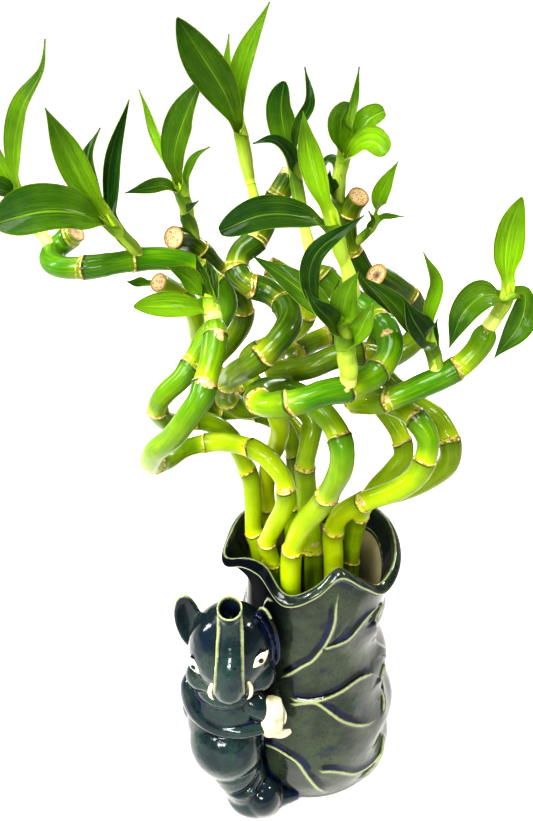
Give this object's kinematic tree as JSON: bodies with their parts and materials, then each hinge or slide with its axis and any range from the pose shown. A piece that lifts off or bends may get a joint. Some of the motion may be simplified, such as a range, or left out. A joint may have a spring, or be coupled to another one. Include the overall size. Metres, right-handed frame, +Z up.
{
  "type": "lucky bamboo plant",
  "caption": "Curled green lucky bamboo canes with leafy shoots, standing in water in a dark glazed lotus-leaf vase hugged by a small elephant.",
  "frame": {"origin": "centre of the vase's flat bottom, on the surface it stands on", "axes": "+Z up along the vase, -Y towards the front with the elephant, +X to the right seen from the front"},
  "size_m": [0.2279, 0.1217, 0.3982],
  "materials": {
    "glaze": "gloss",
    "water": "gloss",
    "cane": "satin",
    "cane_yellow": "satin",
    "cane_dark": "satin",
    "leaf": "satin"
  },
  "bodies": {
    "root": {"vase": "glaze", "water": "water", "cane_1": "cane", "cane_2": "cane", "cane_3": "cane_yellow", "cane_4": "cane", "cane_5": "cane_dark", "cane_6": "cane", "cane_7": "cane_dark", "cane_8": "cane_dark", "cane_9": "cane_dark", "cane_10": "cane_yellow", "shoot_1": "leaf", "shoot_2": "leaf", "shoot_3": "leaf", "shoot_4": "leaf", "shoot_5": "leaf", "shoot_6": "leaf", "shoot_7": "leaf", "shoot_8": "leaf", "shoot_9": "leaf", "shoot_10": "leaf", "shoot_11": "leaf", "shoot_12": "leaf", "shoot_13": "leaf"}
  },
  "joints": []
}
